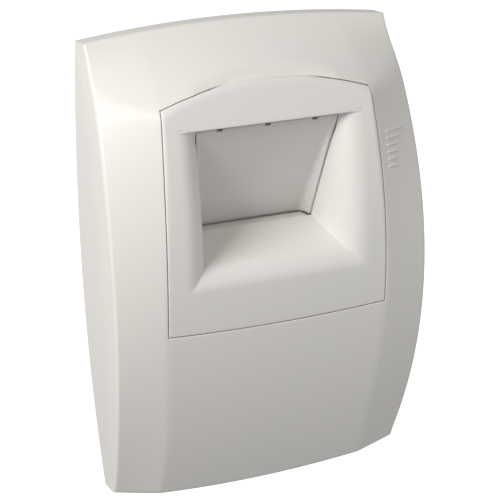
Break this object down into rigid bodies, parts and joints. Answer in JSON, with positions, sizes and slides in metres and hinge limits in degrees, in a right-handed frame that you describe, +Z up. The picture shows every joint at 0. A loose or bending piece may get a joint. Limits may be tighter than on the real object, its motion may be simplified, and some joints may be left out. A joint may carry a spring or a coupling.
{
  "type": "wall-mounted ventilation extract terminal",
  "caption": "Wall-mounted extract terminal for a round duct: arched off-white cover, pull-out recess panel, motor-driven shutter flap and boost timer inside.",
  "frame": {"origin": "on the axis of the round duct spigot, in the wall plane at the back of the base plate", "axes": "+Z up the wall, +X to the right for a viewer who faces the cover, -Y out of the wall towards the viewer; the spigot runs along +Y"},
  "size_m": [0.155, 0.0943, 0.2226],
  "materials": {
    "cover_plastic": "fine moulded satin, warm off-white",
    "flap_plastic": "fine moulded satin, warm off-white",
    "base_plastic": "moulded, off-white",
    "spigot_plastic": "moulded, off-white",
    "rubber": "matte black",
    "foam": "open-cell foam, dark grey",
    "steel": "plated",
    "brass": "satin",
    "gear_plastic": "natural acetal",
    "dark_plastic": "black",
    "blue_plastic": "blue",
    "sensor_plastic": "white",
    "board_laminate": "green solder mask",
    "cell_jacket": "printed sleeve, dark grey"
  },
  "bodies": {
    "base": {"base_plate": "base_plastic", "shutter_frame": "base_plastic", "control_tray": "base_plastic", "control_lid": "base_plastic", "cell_holder": "base_plastic", "duct_spigot": "spigot_plastic", "spigot_seal": "rubber", "cable_grommet": "rubber", "wall_gasket": "foam", "acoustic_lining": "foam", "motor_bracket": "steel", "bracket_screws": "steel", "board_screws": "steel", "frame_screws": "steel", "cover_clips": "steel", "drive_motor": "steel", "terminal_screws": "steel", "cell_contacts": "brass", "pivot_bushes": "brass", "gearbox": "dark_plastic", "timer_chip": "dark_plastic", "capacitors": "dark_plastic", "trimmer_body": "blue_plastic", "terminal_block": "blue_plastic", "humidity_sensor": "sensor_plastic", "circuit_board": "board_laminate", "cells": "cell_jacket"},
    "cover": {"front_cover": "cover_plastic"},
    "panel": {"recess_panel": "cover_plastic"},
    "flap": {"shutter_flap": "flap_plastic", "flap_seal": "rubber", "flap_axles": "steel", "sector_gear": "gear_plastic"},
    "pinion": {"motor_pinion": "gear_plastic", "motor_shaft": "steel"},
    "trimmer": {"trimmer_knob": "gear_plastic"}
  },
  "joints": [
    {"name": "cover_slide", "type": "slide", "parent": "base", "child": "cover", "axis": [0, -1, 0], "range_m": [0, 0.08]},
    {"name": "panel_slide", "type": "slide", "parent": "cover", "child": "panel", "axis": [0, -1, 0], "range_m": [0, 0.06]},
    {"name": "shutter_hinge", "type": "hinge", "parent": "base", "child": "flap", "pos_m": [0, -0.01, -0.0162], "axis": [-1, 0, 0], "range_deg": [0, 50]},
    {"name": "pinion_spin", "type": "hinge", "parent": "base", "child": "pinion", "pos_m": [0, -0.02785, -0.02271], "axis": [-1, 0, 0], "range_deg": [-141, 0.5]},
    {"name": "trimmer_turn", "type": "hinge", "parent": "base", "child": "trimmer", "pos_m": [0.026, -0.015, -0.105], "axis": [0, -1, 0], "range_deg": [-135, 135]}
  ],
  "couplings": [
    {"joint": "pinion_spin", "follows": "shutter_hinge", "ratio": -2.8}
  ]
}
